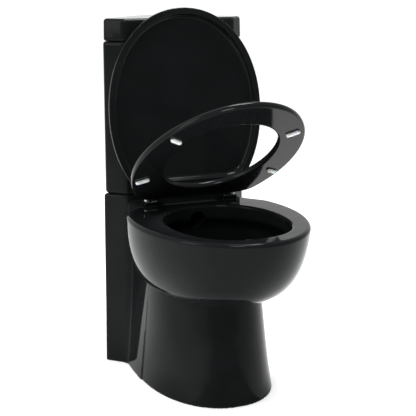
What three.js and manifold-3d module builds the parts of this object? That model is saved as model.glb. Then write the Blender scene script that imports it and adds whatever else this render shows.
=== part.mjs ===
// Corner close coupled toilet: glazed pan and cistern, lifting seat and cover, dual flush fittings.
// Millimetres, +Z up, floor at Z = 0, bowl facing -Y.
import * as THREE from 'three';
import Module from 'manifold-3d';
import { mergeVertices } from 'three/addons/utils/BufferGeometryUtils.js';

const wasm = await Module();
wasm.setup();

// Overall heights
const RIM_Z = 403; // top of the bowl rim
const DECK_Z = 418; // joint between pan and cistern
const LID_JOINT_Z = 778; // joint between cistern and its lid
const LID_TOP_Z = 830.5;
const JOINT_GAP = 0.3;

// Corner plan shared by the column, cistern and lid; Y is counted from the column's front face
const COLUMN_HALF = 182; // half width at the cistern's top
const CHAMFER = 42.4; // 45 degree corner between the front face and each wall face
const BACK_HALF = 30; // half width of the flat that cuts off the back corner
// How far the front and the 45 degree corners move in at each height
const COLUMN_TAPER = { floor: -6, top: 0 };
const TANK_TAPER = { low: 2.5, high: 3 };
const LID_TAPER = { low: 3, high: 4.5 };
const LID_INSET = 1.5;
const EDGE_RADIUS = 7; // rounding where two castings meet
const FRONT_CORNER_R = 20;
const SIDE_CORNER_R = 12;
const COLUMN_SIDE_R = 5;
const BACK_CORNER_R = 10;

// Bowl
const CUP = { a: 193, b: 268, y: -215.5, n: 1.98 };
const CUP_DEPTH = 175;
const CUP_BACK_SHIFT = 27; // the section's centre moves back this far towards the bottom
const CUP_SIDE_POWER = 2.22;
const CUP_TOP_POWER = 5.1;
const CUP_LOWEST = 0.985; // share of the depth where the cup ends, inside the pedestal
const NECK_HALF_FRONT = 135; // half width of the deck behind the bowl
const NECK_HALF_BACK = 128;
const NECK_FRONT_Y = -120;
const NECK_BACK_Y = -35;
const RIM_ROUND = 10;
const PEDESTAL_FLOOR = { a: 148, b: 237, y: -113, n: 2.19 };
const PEDESTAL_TOP = { a: 129.5, b: 184, y: -118, n: 2.14 };
const PEDESTAL_TOP_Z = 225;
const PEDESTAL_END_Z = 243; // inside the cup
const PEDESTAL_POWER = 0.8;
const WALL = 13; // thickness of the ceramic

// Seat and cover, along the seat's own plane when it lies closed on the rim
const HINGE_Y = -59.5;
const HINGE_Z = RIM_Z + 26.5;
const SEAT_ANGLE = 36.6;
const COVER_ANGLE = 95.4;
const SEAT = { a: 190, b: 244, y: -247, n: 2 };
const SEAT_HOLE = { a: 126, b: 148, y: -268, n: 2.07 };
const SEAT_UNDER = RIM_Z + 6;
const SEAT_TOP = RIM_Z + 22;
const COVER = { a: 190, b: 239, y: -248, n: 2.09 };
const COVER_UNDER = RIM_Z + 26;
const COVER_DOME = 22;
const COVER_WALL = 4;
const COVER_LIP = 15; // the flat lip round the cover's dished inside
const SEAT_BACK_Y = -73; // straight rear edge of the seat and cover
const LUG_R = 9;
const PIN_R = 4;
const RUN = 0.3; // clearance around moving shafts
const SEAT_LUG = [66, 81.5]; // from and to, as distances from the middle
const POST = [82, 99.5];
const COVER_LUG = [100, 115.5];
const BASE_BLOCK = { x: [82, 116], y: [-71, -44], high: 10 };
const BUFFERS = [[135, -366], [158, -182]];

// Flush fittings
const VALVE_Y = 78;
const VALVE_HOLE_R = 33;
const VALVE_TAIL_R = 31;
const INLET_BORE_R = 22; // water way through the pan to the rim
const FILL = { x: -92, y: 72 };
const BOLT = { x: 64, y: 34 };
const BUTTON_R = 24;
const LID_BORE_R = 27;
const FLOAT_TRAVEL = 24;

const group = new THREE.Group();
const rad = THREE.MathUtils.degToRad;

function toSolid(geometry) {
  const clean = geometry.clone();
  clean.deleteAttribute('normal');
  clean.deleteAttribute('uv');
  const merged = mergeVertices(clean, 1e-4);
  const mesh = new wasm.Mesh({
    numProp: 3,
    vertProperties: new Float32Array(merged.attributes.position.array),
    triVerts: new Uint32Array(merged.index.array),
  });
  return new wasm.Manifold(mesh);
}

function toGeometry(solid) {
  const mesh = solid.getMesh();
  const geometry = new THREE.BufferGeometry();
  geometry.setAttribute('position', new THREE.BufferAttribute(mesh.vertProperties, 3));
  geometry.setIndex(new THREE.BufferAttribute(mesh.triVerts, 1));
  geometry.computeVertexNormals();
  return geometry;
}

function add(name, solid, color, roughness = 0.3, metalness = 0) {
  const material = new THREE.MeshStandardMaterial({ color, roughness, metalness });
  const mesh = new THREE.Mesh(toGeometry(solid), material);
  mesh.name = name;
  group.add(mesh);
}

const join = (...solids) => solids.reduce((whole, next) => whole.add(next));
const mirror = (solid, side) => (side < 0 ? solid.mirror([1, 0, 0]) : solid);

// Upright cylinder
function rod(x, y, low, high, radius, segments = 16) {
  const shape = new THREE.CylinderGeometry(radius, radius, high - low, segments);
  shape.rotateX(Math.PI / 2);
  shape.translate(x, y, (low + high) / 2);
  return toSolid(shape);
}

// Cylinder along X
function axle(from, to, y, z, radius, segments = 16) {
  const shape = new THREE.CylinderGeometry(radius, radius, to - from, segments);
  shape.rotateZ(Math.PI / 2);
  shape.translate((from + to) / 2, y, z);
  return toSolid(shape);
}

function ring(x, y, low, high, outer, inner, segments = 16) {
  return rod(x, y, low, high, outer, segments)
    .subtract(rod(x, y, low - 1, high + 1, inner, segments));
}

function box(x0, x1, y0, y1, z0, z1) {
  const shape = new THREE.BoxGeometry(x1 - x0, y1 - y0, z1 - z0);
  shape.translate((x0 + x1) / 2, (y0 + y1) / 2, (z0 + z1) / 2);
  return toSolid(shape);
}

// Closed outline of a superellipse, from the front round by the right
function oval({ a, b, y, n }, count) {
  const points = [];
  for (let i = 0; i < count; i += 1) {
    const angle = (2 * Math.PI * i) / count;
    const s = Math.sin(angle);
    const c = -Math.cos(angle);
    const px = a * Math.sign(s) * Math.abs(s) ** (2 / n);
    const py = y + b * Math.sign(c) * Math.abs(c) ** (2 / n);
    points.push(new THREE.Vector2(px, py));
  }
  return points;
}

const grown = (section, by) => ({ ...section, a: section.a + by, b: section.b + by });

// Solid skin through a stack of outlines with equal point counts, lowest first
function skin(levels) {
  const count = levels[0].points.length;
  const profile = levels.map((level) => new THREE.Vector2(1, level.z));
  profile.unshift(new THREE.Vector2(0, levels[0].z));
  profile.push(new THREE.Vector2(0, levels[levels.length - 1].z));
  const shape = new THREE.LatheGeometry(profile, count);
  const position = shape.attributes.position;
  for (let i = 0; i < position.count; i += 1) {
    const station = i % profile.length;
    const step = Math.floor(i / profile.length) % count;
    const level = levels[Math.min(Math.max(station - 1, 0), levels.length - 1)];
    if (station === 0 || station === profile.length - 1) {
      const middle = level.points.reduce((sum, p) => sum.add(p), new THREE.Vector2());
      middle.divideScalar(count);
      position.setXYZ(i, middle.x, middle.y, level.z);
    } else {
      position.setXYZ(i, level.points[step].x, level.points[step].y, level.z);
    }
  }
  return toSolid(shape);
}

const stack = (rows, count) => skin(rows.map(({ z, ...section }) => (
  { z, points: oval(section, count) }
)));

// Rounded polygon with an arc of a few points at every corner
function roundedPolygon(corners, radii, steps = 4) {
  const points = [];
  corners.forEach((corner, i) => {
    const before = corners[(i + corners.length - 1) % corners.length];
    const after = corners[(i + 1) % corners.length];
    const from = before.clone().sub(corner).normalize();
    const to = after.clone().sub(corner).normalize();
    const half = Math.acos(from.dot(to)) / 2;
    const reach = radii[i] / Math.tan(half);
    const bisector = from.clone().add(to).normalize();
    const centre = corner.clone().addScaledVector(bisector, radii[i] / Math.sin(half));
    const start = corner.clone().addScaledVector(from, reach).sub(centre).angle();
    const turn = Math.PI - 2 * half;
    const arc = new THREE.EllipseCurve(
      centre.x, centre.y, radii[i], radii[i], start, start + turn,
    );
    points.push(...arc.getPoints(steps));
  });
  return points;
}

// Corner plan moved in by an inset; the taper moves only the front and the two 45 degree corners
function cornerPlan(inset, taper, sideRadius) {
  const frontY = inset + taper;
  const corner = COLUMN_HALF - CHAMFER - (inset + taper) * Math.SQRT2;
  const wall = COLUMN_HALF + CHAMFER - inset * Math.SQRT2;
  const backY = COLUMN_HALF + CHAMFER - BACK_HALF - inset;
  const right = [
    new THREE.Vector2(corner + frontY, frontY),
    new THREE.Vector2((wall + corner) / 2, (wall - corner) / 2),
    new THREE.Vector2(wall - backY, backY),
  ];
  const left = right.map((p) => new THREE.Vector2(-p.x, p.y)).reverse();
  const shrink = (radius) => Math.max(radius - inset, 2);
  const radii = [FRONT_CORNER_R, sideRadius, BACK_CORNER_R].map(shrink);
  return roundedPolygon([...right, ...left], [...radii, ...radii.slice().reverse()]);
}

// Corner block between two heights, with its lower and upper edges rounded
function cornerBlock(options) {
  const { low, high, inset = 0, taperLow = 0, taperHigh = 0, roundLow = 0, roundHigh = 0 } = options;
  const { sideRadius = SIDE_CORNER_R } = options;
  const rows = [];
  const share = (z) => THREE.MathUtils.lerp(taperLow, taperHigh, (z - low) / (high - low));
  const row = (z, more) => rows.push({ z, points: cornerPlan(inset + more, share(z), sideRadius) });
  if (roundLow > 0) {
    row(low, roundLow);
    row(low + roundLow * 0.3, roundLow * 0.3);
  }
  row(low + roundLow, 0);
  row(high - roundHigh, 0);
  if (roundHigh > 0) {
    row(high - roundHigh * 0.3, roundHigh * 0.3);
    row(high, roundHigh);
  }
  return skin(rows);
}

// The deck behind the bowl narrows to run into the column
function necked(points, scale) {
  return points.map((p) => {
    const share = THREE.MathUtils.smoothstep(p.y, NECK_FRONT_Y, NECK_BACK_Y);
    const along = THREE.MathUtils.clamp(p.y / NECK_BACK_Y, 0, 1);
    const half = THREE.MathUtils.lerp(NECK_HALF_BACK, NECK_HALF_FRONT, along) * scale;
    return new THREE.Vector2(THREE.MathUtils.lerp(p.x, Math.sign(p.x) * half, share), p.y);
  });
}

// ---- pan: bowl, pedestal, column and trap in one casting ----
const OVAL_STEPS = 40;
const INNER_STEPS = 28;

function cup() {
  const rows = [];
  const level = (share, z, inset) => {
    const scale = (1 - share ** CUP_SIDE_POWER) ** (1 / CUP_TOP_POWER);
    const section = {
      a: (CUP.a - inset) * scale,
      b: (CUP.b - inset) * scale,
      y: CUP.y + CUP_BACK_SHIFT * share,
      n: CUP.n,
    };
    rows.push({ z, points: necked(oval(section, OVAL_STEPS), scale) });
  };
  for (const share of [CUP_LOWEST, 0.95, 0.88, 0.76, 0.6, 0.4, 0.2]) {
    level(share, RIM_Z - CUP_DEPTH * share, 0);
  }
  for (const angle of [0, 40, 90]) {
    const rise = RIM_ROUND * Math.sin(rad(angle));
    const inset = RIM_ROUND * (1 - Math.cos(rad(angle)));
    level((RIM_ROUND - rise) / CUP_DEPTH, RIM_Z - RIM_ROUND + rise, inset);
  }
  return skin(rows);
}

function pedestal(inset, top) {
  const rows = [0, 0.1, 0.35, 0.65, 1].map((step) => {
    const z = step * top;
    const share = (z / PEDESTAL_TOP_Z) ** PEDESTAL_POWER;
    const section = {};
    for (const key of ['a', 'b', 'y', 'n']) {
      section[key] = THREE.MathUtils.lerp(PEDESTAL_FLOOR[key], PEDESTAL_TOP[key], share);
    }
    return { z, ...grown(section, -inset) };
  });
  if (inset === 0) return stack(rows, OVAL_STEPS);
  rows[0].z = -1;
  return stack(rows, INNER_STEPS);
}

// Inside of the bowl, from the sump up to the rim's rounded mouth
const BOWL_INSIDE = [
  { z: 149, a: 44, b: 48, y: -206, n: 2 },
  { z: 179, a: 50, b: 54, y: -208, n: 2 },
  { z: 219, a: 62, b: 66, y: -212, n: 2.05 },
  { z: 241, a: 80, b: 84, y: -219, n: 2.05 },
  { z: 255, a: 104, b: 110, y: -229, n: 2.05 },
  { z: 274, a: 132, b: 142, y: -246, n: 2.05 },
  { z: 304, a: 148, b: 163, y: -256, n: 2.05 },
  { z: 344, a: 158, b: 176, y: -264, n: 2.05 },
  { z: 361, a: 146, b: 170, y: -267, n: 2.1 },
  { z: 368, a: 131, b: 164, y: -270, n: 2.2 },
  { z: 395, a: 131, b: 164, y: -270, n: 2.2 },
  { z: 400, a: 133, b: 166, y: -270, n: 2.2 },
  { z: RIM_Z, a: 138, b: 171, y: -270, n: 2.2 },
];
const BOWL_WIDEST_Z = 344;

// With extra thickness it is the outside of the bowl's wall, which ends under the rim
function bowlInside(extra) {
  const rows = BOWL_INSIDE.map((row) => grown(row, extra));
  if (extra > 0) {
    rows.splice(rows.findIndex((row) => row.z === BOWL_WIDEST_Z) + 1);
    rows[0].z -= extra;
    rows.push({ ...rows[rows.length - 1], z: RIM_Z - WALL / 2 });
  } else {
    rows.push({ ...rows[rows.length - 1], z: RIM_Z + 1 });
  }
  return stack(rows, INNER_STEPS);
}

// Trap: out of the sump, up over the weir and down to the horizontal outlet, as Y and Z
const TRAP_PATH = [
  [-215, 177], [-130, 179], [-62, 211], [-28, 275], [16, 295], [58, 266], [78, 207], [128, 180], [158, 180],
];
const TRAP_OUTER_R = 47;
const TRAP_BORE_R = 36;

function trap(radius, more) {
  const points = TRAP_PATH.map(([y, z]) => new THREE.Vector3(0, y, z));
  points[points.length - 1].y += more;
  const path = new THREE.CatmullRomCurve3(points, false, 'centripetal');
  const circle = new THREE.Shape();
  circle.absarc(0, 0, radius, 0, 2 * Math.PI);
  const options = { steps: 14, bevelEnabled: false, extrudePath: path, curveSegments: 7 };
  return toSolid(new THREE.ExtrudeGeometry(circle, options));
}

function columnBlock(inset, low, high, roundHigh) {
  const taper = (z) => THREE.MathUtils.lerp(COLUMN_TAPER.floor, COLUMN_TAPER.top, z / DECK_Z);
  return cornerBlock({
    low, high, inset, roundHigh, taperLow: taper(low), taperHigh: taper(high), sideRadius: COLUMN_SIDE_R,
  });
}

// Half widths of the flat side walls that run from inside the pedestal to the column
const NECK_WALL = [
  { z: 0, front: 146, back: 144.5 },
  { z: PEDESTAL_TOP_Z, front: 119, back: 131 },
  { z: RIM_Z - RIM_ROUND, front: 119, back: 128 },
];
const NECK_WALL_FRONT_Y = -110;
const NECK_WALL_BACK_Y = 20;
const NECK_HOLLOW_Y = -95;
const FLUSH_PIPE = { z: 369, outer: 29, bore: 19, y0: -95, bore0: -104 };
const RECESS_R = 46.5;
const RECESS_Z = 391;
const HINGE_BOLT = { x: 108, y: -57.5, hole: 6, deep: 40 };
const FLOOR_SCREW = { x: 132, y: 48, hole: 7 };
const LUG_BLOCK = { in: 22, out: 45, half: 20, high: 18 }; // foot round each floor screw
const INLET_HOLE_R = 20;
const BOLT_HOLE_R = 6;
const WINDOW = { half: 96, y0: 90, y1: 250, top: 310 }; // opening in the back of the base

function neckWall(inset, y0, low, high) {
  const levels = NECK_WALL.map(({ front, back, z }) => {
    const slope = (back - front) / (NECK_WALL_BACK_Y - NECK_WALL_FRONT_Y);
    const near = front + slope * (y0 - NECK_WALL_FRONT_Y);
    const corners = [[-near, y0], [near, y0], [back, NECK_WALL_BACK_Y], [-back, NECK_WALL_BACK_Y]];
    return { z, points: corners.map(([x, y]) => new THREE.Vector2(x - Math.sign(x) * inset, y)) };
  });
  levels[0].z = low;
  levels[levels.length - 1].z = high;
  return skin(levels);
}

function alongY(y0, y1, z, radius) {
  const shape = new THREE.CylinderGeometry(radius, radius, y1 - y0, 20);
  shape.translate(0, (y0 + y1) / 2, z);
  return toSolid(shape);
}

function panOutside() {
  return join(
    cup(),
    pedestal(0, PEDESTAL_END_Z),
    columnBlock(0, 0, DECK_Z, EDGE_RADIUS),
    neckWall(0, NECK_WALL_FRONT_Y, 0, RIM_Z - RIM_ROUND),
  );
}

function panHollow() {
  return join(
    pedestal(WALL, PEDESTAL_TOP_Z),
    columnBlock(WALL, -1, DECK_Z - WALL, 0),
    neckWall(WALL, NECK_HOLLOW_Y, -1, RIM_Z - WALL),
    box(-WINDOW.half, WINDOW.half, WINDOW.y0, WINDOW.y1, -1, WINDOW.top),
  );
}

function floorLug() {
  const { x, y } = FLOOR_SCREW;
  const { in: inward, out, half, high } = LUG_BLOCK;
  return box(x - inward, x + out, y - half, y + half, 0, high)
    .intersect(columnBlock(WALL / 2, 0, high, 0));
}

function pan() {
  const boss = rod(0, VALVE_Y, FLUSH_PIPE.z - FLUSH_PIPE.outer, DECK_Z - 1, RECESS_R + WALL, 24);
  let casting = join(
    panOutside().subtract(panHollow().subtract(bowlInside(WALL))),
    trap(TRAP_OUTER_R, 0),
    boss,
    alongY(FLUSH_PIPE.y0, VALVE_Y, FLUSH_PIPE.z, FLUSH_PIPE.outer),
    floorLug(),
    mirror(floorLug(), -1),
  );
  casting = casting.subtract(join(
    bowlInside(0),
    trap(TRAP_BORE_R, 2),
    rod(0, VALVE_Y, RECESS_Z, DECK_Z + 1, RECESS_R, 24),
    rod(0, VALVE_Y, FLUSH_PIPE.z, RECESS_Z + 1, INLET_BORE_R),
    alongY(FLUSH_PIPE.bore0, VALVE_Y, FLUSH_PIPE.z, FLUSH_PIPE.bore),
    rod(FILL.x, FILL.y, DECK_Z - WALL - 1, DECK_Z + 1, INLET_HOLE_R),
  ));
  for (const side of [-1, 1]) {
    casting = casting.subtract(join(
      rod(side * BOLT.x, BOLT.y, DECK_Z - WALL - 1, DECK_Z + 1, BOLT_HOLE_R),
      rod(side * HINGE_BOLT.x, HINGE_BOLT.y, RIM_Z - WALL - HINGE_BOLT.deep, RIM_Z + 1, HINGE_BOLT.hole),
      rod(side * FLOOR_SCREW.x, FLOOR_SCREW.y, -1, LUG_BLOCK.high + 1, FLOOR_SCREW.hole),
    ));
  }
  return casting;
}

// ---- cistern ----
const TANK_WALL = 12;
const TANK_LOW = DECK_Z + JOINT_GAP;
const TANK_FLOOR = TANK_LOW + TANK_WALL;
const FILL_HOLE_R = 11;

function tank() {
  const outside = cornerBlock({
    low: TANK_LOW,
    high: LID_JOINT_Z,
    taperLow: TANK_TAPER.low,
    taperHigh: TANK_TAPER.high,
    roundLow: EDGE_RADIUS,
    roundHigh: EDGE_RADIUS,
  });
  const inside = cornerBlock({
    low: TANK_FLOOR,
    high: LID_JOINT_Z + 1,
    inset: TANK_WALL,
    taperLow: TANK_TAPER.low,
    taperHigh: TANK_TAPER.high,
  });
  const hole = (x, y, radius, segments) => rod(x, y, TANK_LOW - 1, TANK_FLOOR + 1, radius, segments);
  return outside.subtract(join(
    inside,
    hole(0, VALVE_Y, VALVE_HOLE_R, 24),
    hole(FILL.x, FILL.y, FILL_HOLE_R),
    hole(BOLT.x, BOLT.y, BOLT_HOLE_R),
    hole(-BOLT.x, BOLT.y, BOLT_HOLE_R),
  ));
}

const LID_LOW = LID_JOINT_Z + JOINT_GAP;
const LID_PLATE = 13;
const LID_EDGE = { low: 6, high: 8 }; // rounding of the lid's lower and upper edges
const LIP = { out: TANK_WALL + 2, in: TANK_WALL + 8, deep: 9 }; // drops inside the cistern

function lid() {
  const outside = cornerBlock({
    low: LID_LOW,
    high: LID_TOP_Z,
    inset: LID_INSET,
    taperLow: LID_TAPER.low,
    taperHigh: LID_TAPER.high,
    roundLow: LID_EDGE.low,
    roundHigh: LID_EDGE.high,
  });
  const straight = { taperLow: LID_TAPER.low, taperHigh: LID_TAPER.low, high: LID_TOP_Z - LID_PLATE };
  const lip = cornerBlock({ ...straight, low: LID_LOW - LIP.deep, inset: LIP.out });
  const inside = cornerBlock({ ...straight, low: LID_LOW - LIP.deep - 1, inset: LIP.in });
  return outside.add(lip).subtract(inside)
    .subtract(rod(0, VALVE_Y, LID_TOP_Z - LID_PLATE - 1, LID_TOP_Z + 1, LID_BORE_R, 28));
}

// ---- dual flush buttons in the lid ----
const COLLAR = { flangeR: 31, high: 2.4, sleeve: 30 };
const COLLAR_NUT = { outer: 34, low: 9 };
const SPLIT_X = 7; // the smaller button takes the part beyond this line
const SPLIT_GAP = 0.5;
const BUTTON_LOW = LID_TOP_Z - 8;
const BUTTON_TOP = LID_TOP_Z + 1.8;
const PUSH_ROD = { radius: 3, low: 710, fullX: -8, halfX: 14 };

function buttonCollar() {
  const flange = rod(0, VALVE_Y, LID_TOP_Z + JOINT_GAP, LID_TOP_Z + COLLAR.high, COLLAR.flangeR, 28);
  const sleeve = rod(0, VALVE_Y, LID_TOP_Z - COLLAR.sleeve, LID_TOP_Z + 1, LID_BORE_R - RUN, 28);
  const bore = rod(0, VALVE_Y, LID_TOP_Z - COLLAR.sleeve - 1, LID_TOP_Z + 5, BUTTON_R + RUN, 28);
  return flange.add(sleeve).subtract(bore);
}

function button(x0, x1, rodX) {
  const reach = BUTTON_R + 1;
  const slice = box(x0, x1, VALVE_Y - reach, VALVE_Y + reach, BUTTON_LOW - 1, BUTTON_TOP + 1);
  const cap = rod(0, VALVE_Y, BUTTON_LOW, BUTTON_TOP, BUTTON_R, 28).intersect(slice);
  return cap.add(rod(rodX, VALVE_Y, PUSH_ROD.low, BUTTON_LOW + 1, PUSH_ROD.radius, 12));
}

// ---- flush valve ----
const VALVE_BASE_R = 38;
const BASE_TOP = TANK_FLOOR + 7;
const CAGE = { outer: 30, bore: 26.5, top: 578, roof: 5 };
const CAGE_SLOT = { half: 10, low: 6, high: 60 };
const CORE = { tube: 14, bore: 11, disc: 24.5, discHigh: 6, top: 668 };
const SEAL_HIGH = 3; // rubber washers between flat faces
const BACKNUT = { outer: 40, high: 13 };

function valveBase() {
  const solid = join(
    rod(0, VALVE_Y, RECESS_Z + 4, TANK_FLOOR + 1, VALVE_TAIL_R, 24),
    rod(0, VALVE_Y, TANK_FLOOR + JOINT_GAP, BASE_TOP, VALVE_BASE_R, 24),
  );
  return solid.subtract(rod(0, VALVE_Y, RECESS_Z, BASE_TOP + 1, INLET_BORE_R, 24));
}

function valveCage() {
  const low = BASE_TOP + JOINT_GAP;
  const far = CAGE.outer * 2;
  const { half, low: slotLow, high: slotHigh } = CAGE_SLOT;
  return rod(0, VALVE_Y, low, CAGE.top, CAGE.outer, 24).subtract(join(
    rod(0, VALVE_Y, low - 1, CAGE.top - CAGE.roof, CAGE.bore, 24),
    rod(0, VALVE_Y, CAGE.top - CAGE.roof - 1, CAGE.top + 1, CORE.tube + 1),
    box(-far, far, VALVE_Y - half, VALVE_Y + half, low + slotLow, low + slotHigh),
    box(-half, half, VALVE_Y - far, VALVE_Y + far, low + slotLow, low + slotHigh),
  ));
}

function valveCore() {
  const low = BASE_TOP + SEAL_HIGH + 2 * JOINT_GAP;
  return rod(0, VALVE_Y, low, low + CORE.discHigh, CORE.disc, 24)
    .add(rod(0, VALVE_Y, low, CORE.top, CORE.tube))
    .subtract(rod(0, VALVE_Y, low - 1, CORE.top + 1, CORE.bore));
}

// ---- fill valve ----
const RISER = { low: 377, top: 658, radius: 9, flangeR: 16, flangeHigh: 4.4, nutHigh: 12 };
const HEAD = { radius: 15, high: 24, earFrom: 5.5, earTo: 9.5, earHalf: 6 };
const FLOAT = { low: 538, high: 618, outer: 27, bore: 10.4, wall: 3, roof: 4 };
const LEVER = { z: 694, reach: 24, halfDrop: FLOAT_TRAVEL / 2, barHalf: 3.5, thick: 2.5, end: 5 };
const LEVER_DROP = Math.atan(LEVER.halfDrop / LEVER.reach);
const LEVER_PIN = { radius: 2, half: 9, hub: 4, hubHalf: 5.1 };
const FLOAT_ROD_R = 2;

function fillRiser() {
  const flange = TANK_FLOOR + SEAL_HIGH + 2 * JOINT_GAP;
  return join(
    rod(FILL.x, FILL.y, RISER.low, RISER.top, RISER.radius),
    rod(FILL.x, FILL.y, flange, flange + RISER.flangeHigh, RISER.flangeR),
  );
}

function fillHead() {
  const { x, y } = FILL;
  const body = rod(x, y, RISER.top + JOINT_GAP, RISER.top + HEAD.high, HEAD.radius);
  const ear = box(
    HEAD.earFrom, HEAD.earTo, y - HEAD.earHalf, y + HEAD.earHalf, RISER.top + HEAD.high - 4, LEVER.z + 5,
  );
  return join(body, ear.translate([x, 0, 0]), mirror(ear, -1).translate([x, 0, 0]))
    .subtract(axle(x - 20, x + 20, y, LEVER.z, LEVER_PIN.radius + RUN));
}

function floatLever() {
  const { x, y } = FILL;
  const { z, reach, barHalf, thick, end } = LEVER;
  const flat = join(
    box(x - barHalf, x + barHalf, y - reach - end, y, z - thick, z + thick),
    axle(x - LEVER_PIN.hubHalf, x + LEVER_PIN.hubHalf, y, z, LEVER_PIN.hub),
    axle(x - LEVER_PIN.half, x + LEVER_PIN.half, y, z, LEVER_PIN.radius),
  );
  return turned(flat, y, z, -THREE.MathUtils.radToDeg(LEVER_DROP));
}

function floatCup() {
  const { low, high, outer, bore, wall, roof } = FLOAT;
  const rodTop = LEVER.z - LEVER.halfDrop - 4.3; // clear of the lever above it
  return ring(FILL.x, FILL.y, low, high, outer, bore, 24)
    .subtract(ring(FILL.x, FILL.y, low - 1, high - roof, outer - wall, bore + wall, 24))
    .add(rod(FILL.x, FILL.y - LEVER.reach, high - roof, rodTop, FLOAT_ROD_R, 12));
}

// Positive angles raise what lies in front of the axis
function turned(solid, y, z, angle) {
  return solid.translate([0, -y, -z]).rotate([-angle, 0, 0]).translate([0, y, z]);
}

const raised = (solid, angle) => turned(solid, HINGE_Y, HINGE_Z, angle);

// ---- seat and cover ----
const BACK_SOFTNESS = 7; // rounding of the rear corners

function backed(section, inset, count) {
  const edge = SEAT_BACK_Y - inset;
  return oval(grown(section, -inset), count).map((p) => {
    const y = edge - BACK_SOFTNESS * Math.log(1 + Math.exp((edge - p.y) / BACK_SOFTNESS));
    return new THREE.Vector2(p.x, y);
  });
}

function lug([from, to], low, high, side) {
  const barrel = axle(from, to, HINGE_Y, HINGE_Z, LUG_R, 24);
  const arm = box(from, to, SEAT_BACK_Y - 10, HINGE_Y, low, high);
  return mirror(barrel.add(arm), side);
}

// Height and inset of each outline, lowest first
const SEAT_ROWS = [
  [SEAT_UNDER, 3], [SEAT_UNDER + 3, 0], [SEAT_TOP - 6, 0], [SEAT_TOP - 2, 3], [SEAT_TOP, 9],
];
const SEAT_HOLE_ROWS = [
  [SEAT_UNDER - 1, 3], [SEAT_UNDER, 2], [SEAT_UNDER + 3, 0], [SEAT_TOP - 7, 0],
  [SEAT_TOP - 3, 2.5], [SEAT_TOP, 8], [SEAT_TOP + 1, 9],
];
const COVER_TOP = COVER_UNDER + COVER_DOME;
const DISH_TOP = COVER_TOP - COVER_WALL;
const COVER_ROWS = [
  [COVER_UNDER, 1.5], [COVER_UNDER + 2, 0], [COVER_UNDER + 7, 0.5], [COVER_UNDER + 12, 4],
  [COVER_TOP - 5, 14], [COVER_TOP - 1.5, 42], [COVER_TOP, 95],
];
const DISH_ROWS = [
  [COVER_UNDER - 1, COVER_LIP], [COVER_UNDER + 8, COVER_LIP + 1],
  [DISH_TOP - 6, COVER_LIP + 11], [DISH_TOP, 100],
];

const backedStack = (section, rows) => skin(rows.map(([z, inset]) => (
  { z, points: backed(section, inset, OVAL_STEPS) }
)));

function hinged(solid, span, low, high) {
  return join(solid, lug(span, low, high, -1), lug(span, low, high, 1))
    .subtract(axle(-200, 200, HINGE_Y, HINGE_Z, PIN_R + RUN, 24));
}

function seat() {
  const hole = stack(SEAT_HOLE_ROWS.map(([z, more]) => ({ z, ...grown(SEAT_HOLE, more) })), OVAL_STEPS);
  const solid = backedStack(SEAT, SEAT_ROWS).subtract(hole);
  return hinged(solid, SEAT_LUG, HINGE_Z - LUG_R, SEAT_TOP - 0.5);
}

function cover() {
  const solid = backedStack(COVER, COVER_ROWS).subtract(backedStack(COVER, DISH_ROWS));
  return hinged(solid, COVER_LUG, COVER_UNDER + 1, HINGE_Z + LUG_R - 1);
}

const BUFFER = { a: 5, b: 16, y: 0, n: 2.6 };

function buffer(x, y, side) {
  const turn = Math.atan2(x, y - SEAT_HOLE.y);
  const pivot = new THREE.Vector2();
  const low = RIM_Z + JOINT_GAP;
  const rows = [[low, 2], [low + 0.7, 0.6], [low + 2, 0], [SEAT_UNDER - JOINT_GAP, 0]];
  const levels = rows.map(([z, inset]) => (
    { z, points: oval(grown(BUFFER, -inset), 24).map((p) => p.rotateAround(pivot, -turn)) }
  ));
  return mirror(skin(levels).translate([x, y, 0]), side);
}

// ---- hinge posts and their fixings ----
const BLOCK_LOW = RIM_Z + JOINT_GAP;
const BLOCK_TOP = RIM_Z + BASE_BLOCK.high;
const FIXING_R = 4;

function hingePost(side) {
  const block = box(...BASE_BLOCK.x, ...BASE_BLOCK.y, BLOCK_LOW, BLOCK_TOP);
  const stem = box(...POST, HINGE_Y - LUG_R + 1.5, HINGE_Y + LUG_R, BLOCK_TOP - 1, HINGE_Z);
  const post = join(block, stem, axle(POST[0], POST[1], HINGE_Y, HINGE_Z, LUG_R, 24))
    .subtract(axle(0, 200, HINGE_Y, HINGE_Z, PIN_R + RUN, 24))
    .subtract(rod(HINGE_BOLT.x, HINGE_BOLT.y, RIM_Z - 5, BLOCK_TOP + 5, FIXING_R + RUN));
  return mirror(post, side);
}

const BLACK_GLAZE = 0x0b0c0e;
const BLACK_PLASTIC = 0x0d0d0f;
const WHITE_PLASTIC = 0xd9d9d6;
const GREY_PLASTIC = 0x8d9296;
const BUFFER_WHITE = 0xe8e8e4;
const STEEL = 0xb9bcc0;
const RUBBER = 0x1c1c1d;
const MATTE = 0.8;

add('pan', pan(), BLACK_GLAZE, 0.1);
add('cistern_tank', tank(), BLACK_GLAZE, 0.1);
add('cistern_lid', lid(), BLACK_GLAZE, 0.1);

add('button_collar', buttonCollar(), STEEL, 0.15, 1);
const plateUnder = LID_TOP_Z - LID_PLATE;
const collarNut = ring(
  0, VALVE_Y, plateUnder - COLLAR_NUT.low, plateUnder - JOINT_GAP, COLLAR_NUT.outer, LID_BORE_R, 28,
);
add('button_collar_nut', collarNut, WHITE_PLASTIC);
add('full_flush_button', button(-BUTTON_R - 1, SPLIT_X - SPLIT_GAP / 2, PUSH_ROD.fullX), STEEL, 0.15, 1);
add('half_flush_button', button(SPLIT_X + SPLIT_GAP / 2, BUTTON_R + 1, PUSH_ROD.halfX), STEEL, 0.15, 1);

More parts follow.
